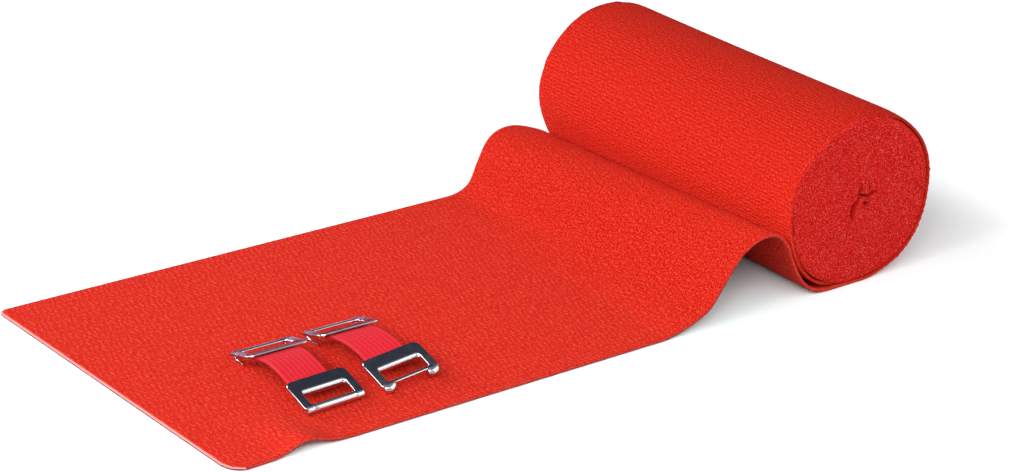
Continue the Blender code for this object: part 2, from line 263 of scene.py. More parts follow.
rollShape = {  # mm and degrees
    "axisHeight": 23.0,
    "round": (  # degrees, near radius, far radius, rim drawn in at the near end
        (-90, 23, 23, 0), (-65, 23.7, 22.9, 0), (-50, 24.5, 23.3, 0), (-37, 24.8, 23.7, 0),
        (-23, 24.5, 23.9, 0), (-8, 24, 24.1, 0), (20, 23.8, 23.8, 0.1), (45, 23.3, 22.9, 0.5),
        (59, 23.1, 22.5, 0.6), (73, 22.9, 22.5, 0.9), (99, 22.1, 23, 1.1), (115, 21.9, 23.8, 1),
        (138, 22.6, 24.4, 0.3), (160, 23.5, 25.2, 0), (180, 23.6, 24.7, 0), (201, 23.6, 23.6, 0),
        (219, 24, 23.6, 0), (233, 24, 23.8, 0), (246, 23.4, 23.4, 0), (270, 21.96, 21.96, 0),
    ),
    "rimReach": 7.0,  # how far from the near end the rim is drawn in
    "turnPitch": 1.06,
    "turns": 22.2,
    "waist": 0.3,  # how much slimmer the roll is at mid width, on its upper side
    "creaseHalf": 3.6,  # half the length of the flattened start of the winding
    "creaseAngle": 82,
    "start": -84,  # where the outer turn begins, at the floor
}

looseShape = {  # mm and degrees
    "cutEnd": -184.5,
    "skew": 2.3,  # how far the cut's near end is set back from its middle
    "nearCorner": 4.6,
    "farCorner": 2.2,
    "liftAt": -162.6,  # the small arch at the near edge
    "liftHeight": 2.3,
    "liftHalf": 5.6,
    "liftReach": 11.0,
    "lead": 4.0,  # flat cloth before the fold, which steadies the curve and is left out again
    "foldLength": 70.0,
    "middle": 0.5,  # the rise gives the middle of cloth 1 mm thick
    "rise": (  # near x, near z, far x, far z
        (-62, 0.5, -58, 0.5), (-55.2, 1.9, -51, 0.9), (-48, 5, -47.2, 2.9),
        (-44.4, 9.4, -44.4, 8.6), (-40.3, 14.9, -41.3, 14.1), (-36.4, 18.3, -38.1, 16.1),
        (-30.8, 20, -33.6, 16.5), (-26.4, 18.9, -27.2, 14.7),
    ),
    "fall": (  # near degrees, near gap, far degrees, far gap
        (199, 0.45, 207, 0.45), (205, 0.40, 212, 0.40), (212, 0.40, 217, 0.40),
        (220, 0.65, 223, 0.50), (229, 1.05, 230, 0.80), (237, 1.20, 237, 1.00),
    ),
    "slit": ((-11.4, 0.38), (-9.2, 0.06), (-7, 0)),  # x, height, under the roll
}


def cubic(t, start, end, leaving, arriving):
    first = (2 * t**3 - 3 * t**2 + 1) * start + (t**3 - 2 * t**2 + t) * leaving
    return first + (3 * t**2 - 2 * t**3) * end + (t**3 - t**2) * arriving


def distanceAlong(points):
    return np.concatenate([[0], np.cumsum(np.linalg.norm(np.diff(points, axis=0), axis=1))])


def fromTable(places, table):
    return np.interp(places, *zip(*table))


def smoothCurve(knots, steps):
    # even steps along a smooth curve through the knots
    knots = np.asarray(knots, float)
    gaps = np.sqrt(np.linalg.norm(np.diff(knots, axis=0), axis=1))
    at = np.concatenate([[0], np.cumsum(gaps)])
    slopes = np.gradient(knots, at, axis=0)
    fine = np.linspace(0, at[-1], 60 * len(knots))
    piece = np.clip(np.searchsorted(at, fine, side="right") - 1, 0, len(knots) - 2)
    span = gaps[piece][:, None]
    t = ((fine - at[piece]) / gaps[piece])[:, None]
    curve = cubic(t, knots[piece], knots[piece + 1], span * slopes[piece], span * slopes[piece + 1])
    lengths = distanceAlong(curve)
    even = np.linspace(0, lengths[-1], steps)
    return np.column_stack([np.interp(even, lengths, curve[:, axis]) for axis in range(curve.shape[1])])


def between(near, far, y):
    return near + (far - near) * (y + halfCloth) / (2 * halfCloth)


def fade(value):
    value = np.clip(value, 0, 1)
    return value * value * (3 - 2 * value)


def turnRadius(turned, y):
    # radius of the cloth's outer side, for degrees wound in from -90 under the roll
    drawnIn = max(1 - (y + halfCloth) / rollShape["rimReach"], 0) ** 2
    pitch = rollShape["turnPitch"]
    knots = [
        (row[0], between(row[1], row[2], y) - drawnIn * row[3] + pitch * (row[0] + 90) / 360)
        for row in rollShape["round"]
    ]
    curve = smoothCurve(knots, 500)
    angle = (np.asarray(turned, float) + 90) % 360 - 90
    full = np.interp(angle, curve[:, 0], curve[:, 1])
    slim = np.clip(np.sin(np.radians(angle - 5)), 0, 1) * (1 - (y / halfCloth) ** 2)
    full = full - rollShape["waist"] * slim
    left = np.clip(1 - (np.asarray(turned, float) + 90) / 360 / rollShape["turns"], 0, 1)
    flat = np.abs(np.cos(np.radians(angle - rollShape["creaseAngle"]))) ** 6
    return left * full + rollShape["creaseHalf"] * (1 - left) ** 3 * flat


def onRoll(turned, y, standOff=0.0):
    radius = turnRadius(turned, y) + standOff
    turn = np.radians(turned)
    return np.column_stack([radius * np.cos(turn), rollShape["axisHeight"] + radius * np.sin(turn)])


clothBuild = {  # mm
    "thickness": 0.9,
    "woundThickness": 0.8,
    "cutThin": (0.3, 0.7),  # the cut end is pressed thin: share of the thickness, and how far in
    "edgeThin": 0.12,
    "looseRows": 400,
    "foldRows": 280,
    "underRows": 44,
    "outerRows": 830,
    "outerUntil": 318,  # degrees, where the finely built cloth ends inside the roll
    "innerStep": 3.3,
    "innerRadius": 1.2,  # taken as at least this, with at most innerTurn degrees to a step
    "innerTurn": 24,
    "across": (
        -49.75, -49.2, -48, -45.5, -41, -34, -26, -17, -8, 0, 8, 17, 26, 34, 41, 45.5, 48, 49.2, 49.75,
    ),
    "beadAt": 50.2,  # the selvedge's place on the material's map
    "narrowInside": 0.026,  # shares of the width lost inside the roll, under its covered rim and in its core
    "narrowCover": 0.012,
    "narrowCore": 0.045,
    "narrowFrom": (240, 0.42),  # degrees inside the roll, and share of its turns still to wind
    "stretchReach": 12,  # the cloth takes up its tension over this length, half of it before the roll
    "ribHeight": 0.03,
    "loopHeight": 0.20,  # of the selvedge's loops, one for two ribs
    "beadProud": (0.03, 0.07),
    "hemPale": 0.10,
    "cutPale": 0.8,
}


def innerTurns():
    turned, found = clothBuild["outerUntil"], []
    last = -90 + 360 * rollShape["turns"]
    while turned < last:
        radius = max(float(turnRadius(turned, 0)), clothBuild["innerRadius"])
        turned += min(math.degrees(clothBuild["innerStep"] / radius), clothBuild["innerTurn"])
        found.append(min(turned, last))
    return np.array(found)


def outerTurn():
    return np.linspace(rollShape["start"], clothBuild["outerUntil"], clothBuild["outerRows"])


def clothPath(y, inner):
    # the cloth's middle surface at one place across its width, from the cut end to its start in the core
    shape, half = looseShape, clothBuild["thickness"] / 2
    start = shape["cutEnd"] - shape["skew"] * y / halfCloth
    corner = shape["nearCorner"] if y < 0 else shape["farCorner"]
    into = min(max(abs(y) - (halfCloth - corner), 0), corner)
    start += corner - math.sqrt(corner**2 - into**2)
    foot = between(shape["rise"][0][0], shape["rise"][0][2], y)
    share = np.linspace(0, 1, clothBuild["looseRows"], endpoint=False)
    flatX = start + share * (foot - start)
    along = np.exp(-(((flatX - shape["liftAt"]) / shape["liftHalf"]) ** 2))
    lift = shape["liftHeight"] * along * math.exp(-(((y + halfCloth) / shape["liftReach"]) ** 2))
    flat = np.column_stack([flatX, half + lift])
    knots = [(foot - shape["lead"], half)]
    for nearX, nearZ, farX, farZ in shape["rise"]:
        knots.append((between(nearX, farX, y), between(nearZ, farZ, y) - shape["middle"] + half))
    for nearTurn, nearGap, farTurn, farGap in shape["fall"]:
        gap = between(nearGap, farGap, y) + half
        knots.append(tuple(onRoll([between(nearTurn, farTurn, y)], y, gap)[0]))
    knots += [(x, z + half) for x, z in shape["slit"]]
    extra = round(shape["lead"] / shape["foldLength"] * clothBuild["foldRows"])
    fold = smoothCurve(knots, clothBuild["foldRows"] + extra)[extra:]
    fold[:, 1] = np.maximum(fold[:, 1], half)
    wound = onRoll(outerTurn(), y, -half)
    under = np.linspace(fold[-1], wound[0], clothBuild["underRows"] + 2)[1:-1]
    under[:, 1] = half
    wound[:, 1] = np.maximum(wound[:, 1], half)
    core = onRoll(inner, y, -half)
    return np.vstack([flat, fold, under, wound, core])


def clothWidthShare(rows, inner):
    # the turns inside the roll stop just behind its two wound ends
    wound = outerTurn()
    turned = np.concatenate([np.full(rows - len(wound) - len(inner), -90.0), wound, inner])
    depth = 1 - (turned + 90) / 360 / rollShape["turns"]
    insideFrom, coreFrom = clothBuild["narrowFrom"]
    share = 1 - clothBuild["narrowInside"] * fade((turned - insideFrom) / 24)
    share -= clothBuild["narrowCover"] * fromTable(turned, woundEnd["cover"])
    return share - clothBuild["narrowCore"] * fade((coreFrom - depth) / 0.12)


def countRibs(along, fromRoll):
    # ribs up to each place along the cloth; fewer to a mm where it is wound under tension
    wound = fade(fromRoll / clothBuild["stretchReach"] + 0.5)
    density = crepeLook["looseRibs"] + (crepeLook["woundRibs"] - crepeLook["looseRibs"]) * wound
    steps = np.diff(along) * (density[1:] + density[:-1]) / 2
    return np.concatenate([[0], np.cumsum(steps)]), wound


def pathOutward(path):
    way = np.gradient(path, axis=0)
    way /= np.maximum(np.linalg.norm(way, axis=1), 1e-9)[:, None]
    return np.column_stack([-way[:, 1], way[:, 0]])


def selvedgeBead(side, path, ribs, wound, onOuter, share):
    # the looped edge of the weave
    loops = np.cos(np.pi * ribs + 1.2 * np.sin(ribs * 0.13 + side))
    uneven = np.array([noise.noise(Vector((u * 0.31, side * 7.0, 0))) for u in ribs])
    place = side * (halfCloth + clothBuild["loopHeight"] * (loops * 0.6 + uneven) * onOuter) * share
    proud = (clothBuild["beadProud"][0] + clothBuild["beadProud"][1] * loops * onOuter) * wound
    line = path - pathOutward(path) * proud[:, None]
    return np.column_stack([line[:, 0], place, line[:, 1]])


def clothLayers(rows, count, wound):
    # what the material reads at each point; the two beads stand at the places that edges names
    loose, fold, under = (clothBuild[key] for key in ("looseRows", "foldRows", "underRows"))
    rollStart, last = loose + fold + under, count - 1
    upper = len(clothBuild["across"])
    edges = [upper, last]
    pale = np.zeros((rows, count))
    pale[:, edges] = clothBuild["hemPale"] * (1 - wound[:, None])
    pale[:2, :] = clothBuild["cutPale"]
    lowerSide = np.zeros((rows, count))
    lowerSide[:, upper + 1:last] = 1.0
    lowerSide[:, edges] = 0.5
    # painted light and shade along the cloth: darker up the fold, lighter over its crest and low on the roll,
    # darker on the under side and along the hems
    paintedShading = np.ones((rows, count))
    upFold = np.linspace(0, 1, fold)
    paintedShading[loose:loose + fold] *= fromTable(upFold, crepeLook["foldShading"])[:, None]
    onTurn = fromTable(outerTurn(), crepeLook["turnShading"])
    paintedShading[rollStart:rollStart + len(onTurn)] *= onTurn[:, None]
    paintedShading[:rollStart, upper + 1:last] *= crepeLook["underShade"]
    paintedShading[:rollStart, edges] *= crepeLook["hemShade"]
    crisp = np.zeros((rows, count))
    crisp[loose:loose + fold] = fromTable(upFold, crepeLook["foldCrisp"])[:, None]
    crisp[loose + fold:] = crepeLook["rollCrisp"]
    hem = np.zeros((rows, count))
    hem[:, [0, upper - 1, upper, upper + 1, last - 1, last]] = 1.0
    taut = np.repeat(wound[:, None], count, axis=1)
    return {"paleEdge": pale, "slant": lowerSide, "tension": taut, "hem": hem, "paintedShading": paintedShading, "crisp": crisp}


def buildCloth(finish):
    inner = innerTurns()
    middle = clothPath(0.0, inner)
    along = distanceAlong(middle)
    rows = len(middle)
    share = clothWidthShare(rows, inner)
    onOuter = np.ones(rows)
    onOuter[-len(inner):] = 0
    rollStart = sum(clothBuild[key] for key in ("looseRows", "foldRows", "underRows"))
    ribs, wound = countRibs(along, along - along[rollStart])
    half = (clothBuild["thickness"] * (1 - wound) + clothBuild["woundThickness"] * wound) / 2
    thin, reach = clothBuild["cutThin"]
    half = half * (thin + (1 - thin) * fade(along / reach))
    rib = clothBuild["ribHeight"] * np.cos(2 * np.pi * ribs) * onOuter * wound
    over, under, mids = [], [], []
    for y in clothBuild["across"]:
        path = clothPath(y, inner)
        outward = pathOutward(path)
        thick = half * (1 - clothBuild["edgeThin"] * fade((abs(y) - 49.0) / 0.8))
        upper = path + outward * thick[:, None]
        lower = path - outward * (thick + rib)[:, None]
        lower[:, 1] = np.maximum(lower[:, 1], 0.0)
        over.append(np.column_stack([upper[:, 0], y * share, upper[:, 1]]))
        under.append(np.column_stack([lower[:, 0], y * share, lower[:, 1]]))
        mids.append((upper + lower) / 2)
    near, far = (selvedgeBead(s, m, ribs, wound, onOuter, share) for s, m in ((-1, mids[0]), (1, mids[-1])))
    ring = over + [far] + under[::-1] + [near]
    count = len(ring)
    across, bead = np.array(clothBuild["across"]), clothBuild["beadAt"]
    place = np.concatenate([across, [bead], across[::-1], [-bead], [across[0]]])
    mesh = tubeMesh("bandageCloth", np.stack(ring, axis=1) * mm, "clothMap", ribs, place)
    for name, values in clothLayers(rows, count, wound).items():
        addValues(mesh, name, values)
    return finishPiece("bandageCloth", mesh, finish, "bandage"), along[-1] * mm


def tubeMesh(name, points, mapName, along, around, alongFirst=True):
    # a closed skin over rings of points, with a map of the distance along it and around it
    rows, count = points.shape[:2]
    i, j = np.meshgrid(np.arange(rows - 1), np.arange(count), indexing="ij")
    after = (j + 1) % count
    quads = [i * count + j, (i + 1) * count + j, (i + 1) * count + after, i * count + after]
    where = [(i, j), (i + 1, j), (i + 1, j + 1), (i, j + 1)]
    if not alongFirst:
        quads, where = quads[:1] + quads[:0:-1], where[:1] + where[:0:-1]
    faces = np.stack(quads, axis=-1).reshape(-1, 4).tolist()
    caps = [list(range(count)), list(range((rows - 1) * count, rows * count))[::-1]]
    mesh = bpy.data.meshes.new(name)
    mesh.from_pydata(points.reshape(-1, 3).tolist(), [], faces + caps)
    corners = [(along[a], around[b]) for a, b in where]
    ends = [(np.full(count, along[k]), around[:-1]) for k in (0, -1)]
    order = slice(None) if alongFirst else slice(None, None, -1)
    corners = np.stack([np.stack(pair[order], -1) for pair in corners], axis=2).reshape(-1, 2)
    ends = [np.stack(pair[order], -1) for pair in ends]
    places = np.concatenate([corners, *ends]).astype(np.float32)
    mesh.uv_layers.new(name=mapName).data.foreach_set("uv", places.ravel())
    return mesh


def addValues(mesh, name, values):
    layer = mesh.attributes.new(name, "FLOAT", "POINT")
    layer.data.foreach_set("value", values.ravel().astype(np.float32))


def placePiece(name, mesh, finish, node, matrix=Matrix()):
    mesh.materials.append(finish)
    mesh.shade_smooth()
    piece = addObject(name, mesh)
    piece.matrix_world = matrix
    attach(piece, "root")
    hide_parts(node)
    return piece


def finishPiece(name, mesh, finish, node, sharp=60):
    work = bmesh.new()
    work.from_mesh(mesh)
    bmesh.ops.recalc_face_normals(work, faces=work.faces)
    work.to_mesh(mesh)
    work.free()
    piece = placePiece(name, mesh, finish, node)
    mesh.set_sharp_from_angle(angle=math.radians(sharp))
    return piece


woundEnd = {  # mm and degrees
    "rings": 98,
    "steps": 470,
    "loopPitch": 0.78,
    "loopHeight": 0.11,
    "groove": 0.09,
    "grainHeight": 0.08,
    "slowHeight": 0.14,
    "gap": (-0.24, 0.20),  # inside the outer turn: where it lies tight, and how much more where it stands off
    "coverReach": 0.9,  # how far the end spreads under the rim where that is drawn in
    "dip": (0.05, 0.5),
    "wall": 1.25,  # how deep the end's edge goes into the roll, and how much deeper its middle
    "hollow": 2.6,
    "middleDeep": (0.5, 4.2),  # of the end's face and of its back
    "pitDepth": 1.8,
    "cover": ((-90, 0), (66, 0), (88, 1), (150, 1), (172, 0), (270, 0)),
    "standOff": (
        (-90, 1), (-60, 0.9), (-20, 1.1), (40, 1.1), (64, 0.55),
        (84, 0.1), (160, 0.1), (178, 1), (235, 1.4), (270, 1),
    ),
    "crease": (  # x, z, x, z, half width, depth
        (0.3, 25.9, -0.3, 24.4, 0.50, 2.6),
        (-0.3, 24.4, -0.8, 22.7, 0.42, 2.2),
        (-0.8, 22.7, -1.7, 21.4, 0.60, 3.4),
        (-1.7, 21.4, -2.2, 19.5, 0.78, 4),
        (-2.2, 19.5, -2, 18.2, 0.50, 2.8),
        (-0.2, 24, 2.6, 23.2, 0.34, 1.6),
        (2.6, 23.2, 4.3, 23.8, 0.52, 2.4),
        (1.4, 21.6, 2.6, 21, 0.42, 1.9),
        (2.6, 26.2, 2.9, 25.2, 0.30, 1.2),
    ),
    "lumps": (  # x, z, radius, height: the twisted start of the cloth beside the crease
        (1.3, 24.9, 1.1, 0.55), (2.2, 22.3, 0.8, 0.40), (0.1, 21.4, 0.9, 0.35), (4.9, 24.6, 0.8, 0.35),
    ),
}


def creaseDepth(x, z):
    deep = np.zeros_like(x)
    for ax, az, bx, bz, width, depth in woundEnd["crease"]:
        reach = (bx - ax) ** 2 + (bz - az) ** 2
        t = np.clip(((x - ax) * (bx - ax) + (z - az) * (bz - az)) / reach, 0, 1)
        away = np.hypot(x - ax - t * (bx - ax), z - az - t * (bz - az))
        deep = np.maximum(deep, depth * np.exp(-((away / width) ** 3)))
    for cx, cz, reach, rise in woundEnd["lumps"]:
        deep = deep - rise * np.exp(-(((x - cx) ** 2 + (z - cz) ** 2) / reach**2))
    return deep


def endRelief(x, z, radius, angle, rim, standOff, side):
    # how far the turns' edges, their loops and the grain stand out of the end face
    def bumps(scale, seed):
        places = zip(x.ravel(), z.ravel())
        found = [noise.noise(Vector((a * scale, b * scale, side * seed))) for a, b in places]
        return np.array(found).reshape(x.shape)

    rough, slow = bumps(1.5, 9.0), bumps(0.35, 5.0)
    layer = (radius + 0.25 * rough + 0.3 * slow) / rollShape["turnPitch"] + (angle + 90) / 360
    number = np.floor(layer)
    away = 2 * np.abs(layer - number - 0.5)  # 0 in the middle of a turn, 1 between two
    shift = np.sin(number * 12.9898) * 43.7  # each turn's loops start elsewhere
    loops = np.cos(2 * np.pi * (np.radians(angle) * radius / woundEnd["loopPitch"] + shift))
    height = woundEnd["groove"] * (0.4 - away**3)
    height += woundEnd["loopHeight"] * loops * (1 - away) * (0.6 + rough)
    height += woundEnd["grainHeight"] * rough + woundEnd["slowHeight"] * slow
    nearRim = fade((radius - rim + 0.6) / 0.6)
    return height - (woundEnd["dip"][0] + woundEnd["dip"][1] * standOff) * nearRim**2


def buildWoundEnd(name, side, finish):
    steps, axis = woundEnd["steps"], rollShape["axisHeight"]
    turn = np.linspace(-90, 270, steps, endpoint=False)
    standOff, cover = (fromTable(turn, woundEnd[key]) for key in ("standOff", "cover"))
    gap = woundEnd["gap"][0] + woundEnd["gap"][1] * standOff - woundEnd["coverReach"] * cover
    rim = turnRadius(turn + 360, side * halfCloth) + rollShape["turnPitch"] * fade((turn - 232) / 36) - gap
    angle, part = np.meshgrid(turn, np.linspace(0, 1, woundEnd["rings"] + 1)[1:] ** 0.9)
    radius = part * rim
    x = radius * np.cos(np.radians(angle))
    z = axis + radius * np.sin(np.radians(angle))
    crease = creaseDepth(x if side < 0 else -x, z)
    height = endRelief(x, z, radius, angle, rim, standOff, side) - crease
    front = np.stack([x, side * (halfCloth - 0.1 + height), z], -1)
    wall = front[-1].copy()
    wall[:, 1] = side * (halfCloth - woundEnd["wall"])
    rings = [*front, wall]
    for part in (0.75, 0.5, 0.25):
        deep = woundEnd["wall"] + woundEnd["hollow"] * fade(1 - (part * axis - 3) / 9)
        backX, backZ = (part * rim * way(np.radians(turn)) for way in (np.cos, np.sin))
        rings.append(np.stack([backX, np.full(steps, side * (halfCloth - deep)), axis + backZ], -1))
    count = len(rings)
    centre = [[0.0, side * (halfCloth - deep), axis] for deep in woundEnd["middleDeep"]]
    vertices = np.vstack([*rings, centre]) * mm
    i, j = np.meshgrid(np.arange(count - 1), np.arange(steps), indexing="ij")
    after = (j + 1) % steps
    quads = [i * steps + j, i * steps + after, (i + 1) * steps + after, (i + 1) * steps + j]
    faces = np.stack(quads, -1).reshape(-1, 4).tolist()
    last = (count - 1) * steps
    faces += [[count * steps, (k + 1) % steps, k] for k in range(steps)]
    faces += [[count * steps + 1, last + k, last + (k + 1) % steps] for k in range(steps)]
    mesh = bpy.data.meshes.new(name)
    mesh.from_pydata(vertices.tolist(), [], faces)
    pit = np.zeros(len(vertices))
    pit[:crease.size] = np.clip(crease.ravel() / woundEnd["pitDepth"], 0, 1)
    addValues(mesh, "pit", pit)
    return finishPiece(name, mesh, finish, "bandage", 80)


endLook = {
    "deepRed": (0.335, 0.0006, 0.0004),
    "red": (0.52, 0.008, 0.006),
    "brightRed": (0.615, 0.021, 0.0155),
    "fibreHighlightRed": (0.70, 0.100, 0.080),  # the tips of the loops, with a painted highlight
    "pitRed": (0.46, 0.004, 0.004),  # down in the crease, where little light comes
    "roughness": 0.9,
    "sheen": 0.02,
    "sheenTint": (1, 0.3, 0.3),
    "specular": 0.03,
    "lumpSize": 0.00027,  # m
    "fibreNoise": (3900, 2.0, 0.6),
    "fibreHeight": 1.6,
    "lumpHeight": 0.75,
    "brightAt": (0.32, 0.76),
    "fibreAt": (0.57, 0.83),
    "calmNoise": (260, 2.0, 0.5),
    "calmShare": 0.25,
    "reliefDepth": 0.00022,  # m
}


def woundEndMaterial(values):
    made, tree, shader = newMaterial("woundSelvedge", values["red"], values["roughness"])
    clothSurface(tree, shader, values)
    place = objectPlace(tree)
    fibres = noiseNode(tree, place, *values["fibreNoise"])
    fibres = mathNode(tree, "MULTIPLY", fibres, values["fibreHeight"])
    lumps = mathNode(tree, "MULTIPLY", lumpNode(tree, place, 1 / values["lumpSize"]), values["lumpHeight"])
    height = mathNode(tree, "SUBTRACT", fibres, lumps)
    bumpNode(tree, shader, height, values["reliefDepth"])
    # darker in the lumps and lighter on the fibres: partly the end's own tone, partly painted shade and
    # painted highlight
    share = remap(tree, height, *values["brightAt"])
    colour = blendColours(tree, share, values["deepRed"], values["brightRed"])
    colour = blendColours(tree, remap(tree, height, *values["fibreAt"]), colour, values["fibreHighlightRed"])
    calm = noiseNode(tree, place, *values["calmNoise"])
    calm = remap(tree, calm, 0.35, 0.65, 0.0, values["calmShare"])
    colour = blendColours(tree, calm, colour, values["red"])
    colour = blendColours(tree, attributeNode(tree, "pit"), colour, values["pitRed"])
    feed(tree, shader, {"Base Color": colour})
    return made


plateShape = {  # mm and degrees
    "width": 16.6,
    "depth": 9.4,
    "thickness": 0.4,
    "bandCorner": 1.7,
    "outerCorner": 0.45,
    "windowWidth": 12.0,
    "windowDepth": 4.4,
    "windowShift": -1.1,
    "windowCorner": 0.7,
    "rimRadius": 0.36,  # the bend round the window
    "skirtBend": 84,
    "betweenClaws": 0.55,  # how deep the skirt is between the claws
    "lipBend": 135,  # of an outer edge that is rolled under between its claws
    "clawWidths": (1.0, 1.02, 1.04, 1.04, 1.04, 1.04, 1.02, 1.0, 0.97, 0.92, 0.86, 0.78, 0.70, 0.62),
    "prongs": ((0.2, 0.50), (0.45, 0.38), (0.7, 0.26), (1.0, 0.08)),  # share of the length, and width there
    "tongueDrop": 2.1,
    "tongueBulge": 0.62,
    "tongueBend": 1.1,
    "tongueLength": 2.0,
    "tongueTaper": 0.16,
    "cornerSteps": 6,
    "sideSteps": 4,
    "clawColumns": 5,
    "middleColumns": 7,
}

# how the outer edge of the near and far plates is bent
nearBend = {"edge": 0.28, "skirt": 0.5, "fall": (0.08, 0.06), "slim": 0.0}
farBend = {
    "edge": 0.14, "skirt": 0.2, "fall": (0.05, -0.10), "slim": 0.78, "pull": 0.0, "rolled": False,
    "clawWidth": 2.2, "clawRadius": 1.05, "crown": 0.7,
}

# each plate: the centre of its upper face, its turn, slope and roll, its band's shift to one side, its claws
clips = {
    "left": {
        "near": {
            **nearBend, "at": (-147.8, -33.8, 4.75), "turn": 3.0, "slope": 19.5, "roll": 0.9, "band": -1.2,
            "pull": 0.6, "rolled": True, "clawWidth": 2.0, "clawRadius": 1.1, "crown": 0.05,
            "prong": 1.0, "prongSlope": 50,
        },
        "far": {
            **farBend, "at": (-146.9, -9.1, 4.75), "turn": -2.2, "slope": 17.0, "roll": -0.8, "band": -0.7,
            "prong": 3.3, "prongSlope": 18,
        },
    },
    "right": {
        "near": {
            **nearBend, "at": (-127.0, -33.3, 4.95), "turn": 5.0, "slope": 20.2, "roll": -3.1, "band": -0.6,
            "pull": 0.45, "rolled": False, "clawWidth": 3.0, "clawRadius": 1.22, "crown": 0.55,
            "prong": 1.6, "prongSlope": 24,
        },
        "far": {
            **farBend, "at": (-126.9, -8.8, 4.75), "turn": -3.3, "slope": 17.8, "roll": -1.3, "band": -0.3,
            "prong": 4.4, "prongSlope": 14,
        },
    },
}


def roundedLoop(width, depth, shift, corners, edgePlaces):
    # counter-clockwise from the outer edge's -X end; corners are the outer edge's and the band side's radius
    outer, band = corners
    low, high = shift - depth / 2, shift + depth / 2
    steps = plateShape["cornerSteps"]
    loop = [(x, low) for x in edgePlaces(width / 2 - outer)]

    def corner(cx, cy, radius, first):
        for k in range(1, steps):
            t = math.radians(first + 90 * k / steps)
            loop.append((cx + radius * math.cos(t), cy + radius * math.sin(t)))

    def side(x, fromY, toY):
        for k in range(plateShape["sideSteps"] + 1):
            loop.append((x, fromY + (toY - fromY) * k / plateShape["sideSteps"]))

    corner(width / 2 - outer, low + outer, outer, -90)
    side(width / 2, low + outer, high - band)
    corner(width / 2 - band, high - band, band, 0)
    loop += [(x, high) for x in edgePlaces(width / 2 - band)[::-1]]
    corner(-width / 2 + band, high - band, band, 90)
    side(-width / 2, high - band, low + outer)
    corner(-width / 2 + outer, low + outer, outer, 180)
    return loop


def bendArc(radiusY, radiusZ, until, steps):
    # how far out and down a bend of the sheet metal goes, from level
    turns = [math.radians(until * k / steps) for k in range(1, steps + 1)]
    return [(radiusY * math.sin(t), radiusZ * math.cos(t) - radiusZ, t) for t in turns]


